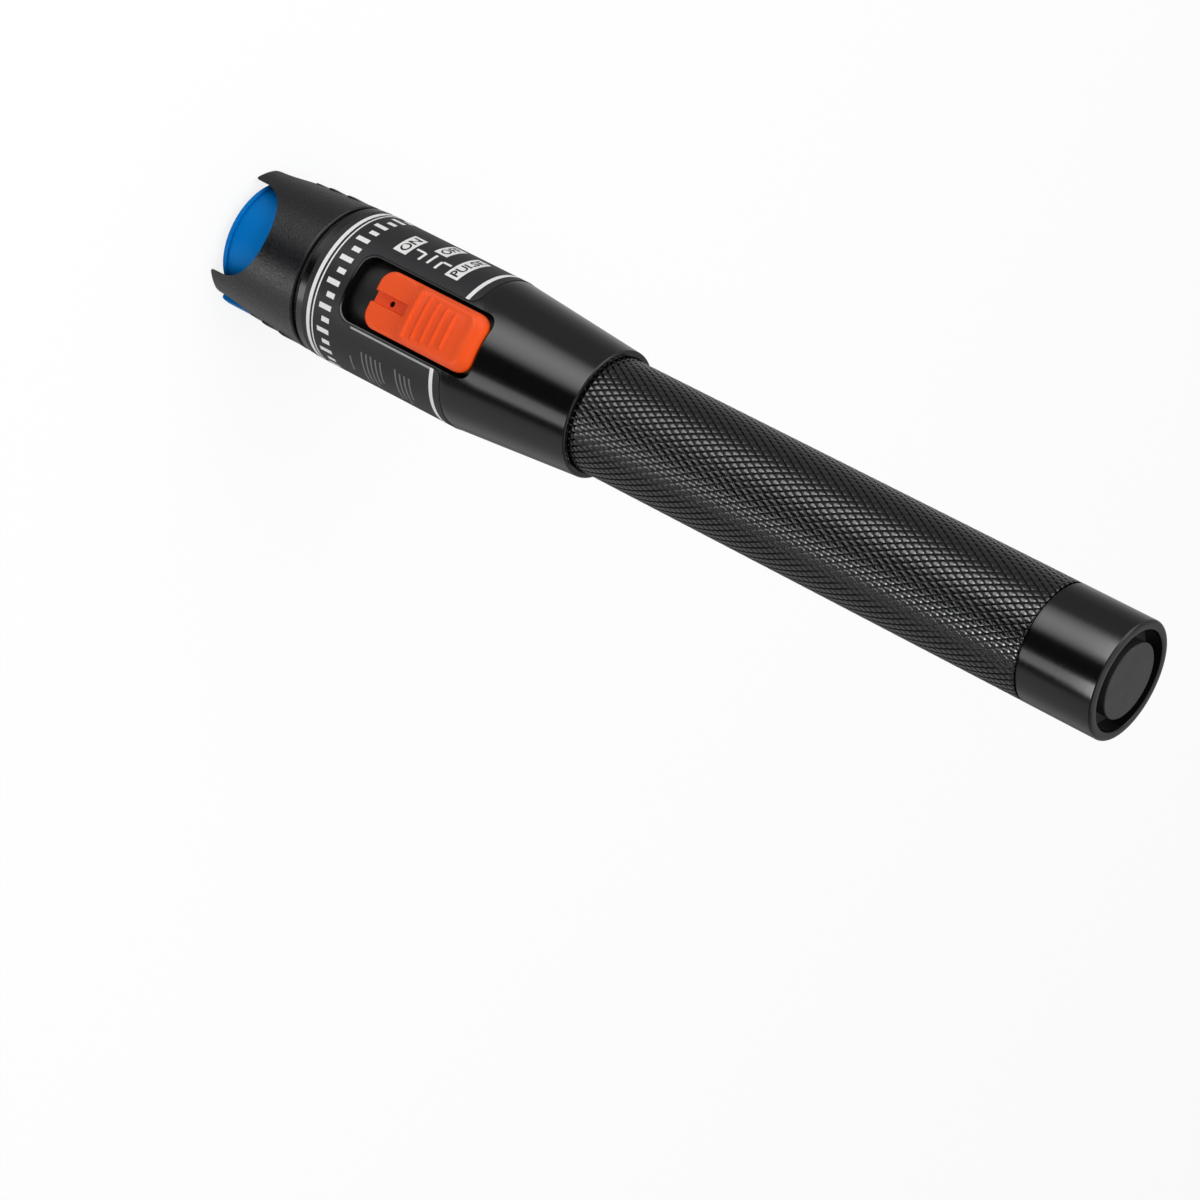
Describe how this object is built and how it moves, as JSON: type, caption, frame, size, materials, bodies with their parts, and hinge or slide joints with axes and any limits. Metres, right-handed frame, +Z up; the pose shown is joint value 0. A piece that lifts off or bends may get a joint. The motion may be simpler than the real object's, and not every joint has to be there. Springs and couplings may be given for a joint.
{
  "type": "visual fault locator",
  "caption": "Pen-shaped visible laser source for tracing fibre, with a scalloped rubber crown, dust cap, slide switch and knurled battery tube.",
  "frame": {"origin": "on the pen's axis, at the plane of the crown's tips, which it stands on", "axes": "+Z up along the axis from the crown to the tail, -Y is the side with the slide switch, -Z is the way a fibre ferrule leaves the port"},
  "size_m": [0.0262, 0.0277, 0.1765],
  "materials": {
    "crown_rubber": "moulded, matt",
    "shell_anodised": "black anodised, satin",
    "tube_anodised": "black anodised, diamond knurled",
    "label_film": "printed film, satin",
    "slider_orange": "moulded, semi-gloss",
    "cap_blue": "moulded, semi-gloss",
    "black_plastic": "moulded, matt",
    "nickel": "nickel plated",
    "brass": "turned",
    "zirconia": "ground",
    "lens_glass": "polished",
    "steel": "plain",
    "board_green": "solder mask",
    "chip_black": "moulded",
    "capacitor_can": "plain",
    "cell_wrap": "shrink film",
    "ring_rubber": "moulded",
    "tail_aluminium": "satin turned"
  },
  "bodies": {
    "head": {"crown_boot": "crown_rubber", "nose_piece": "black_plastic", "ferrule_adapter": "nickel", "ceramic_sleeve": "zirconia", "adapter_nut": "nickel", "laser_housing": "brass", "focus_lens": "lens_glass", "lens_spacer": "brass", "laser_diode": "steel", "diode_ring": "brass", "head_shell": "shell_anodised", "label_wrap": "label_film", "slider_tray": "black_plastic", "switch_body": "steel", "circuit_board": "board_green", "board_screws": "steel", "driver_chip": "chip_black", "capacitor": "capacitor_can", "carrier": "black_plastic", "front_contact": "nickel"},
    "switch": {"switch_slider": "slider_orange", "switch_knob": "chip_black"},
    "cap": {"dust_cap": "cap_blue"},
    "cells": {"battery_front": "cell_wrap", "battery_rear": "cell_wrap"},
    "tube": {"grip_tube": "tube_anodised", "seal_ring": "ring_rubber", "tail_spring": "steel", "tail_plug": "tail_aluminium"}
  },
  "joints": [
    {"name": "switch_slide", "type": "slide", "parent": "head", "child": "switch", "axis": [0, 0, -1], "range_m": [0, 0.00366]},
    {"name": "cap_pull", "type": "slide", "parent": "head", "child": "cap", "axis": [0, 0, -1], "range_m": [0, 0.03]},
    {"name": "tube_draw", "type": "slide", "parent": "head", "child": "cells", "axis": [0, 0, 1], "range_m": [0, 0.007]},
    {"name": "tube_turn", "type": "hinge", "parent": "cells", "child": "tube", "pos_m": [0, 0, 0.12], "axis": [0, 0, 1], "range_deg": [0, 2520]}
  ],
  "couplings": [
    {"joint": "tube_turn", "follows": "tube_draw", "rad_per_m": 6283.2}
  ]
}
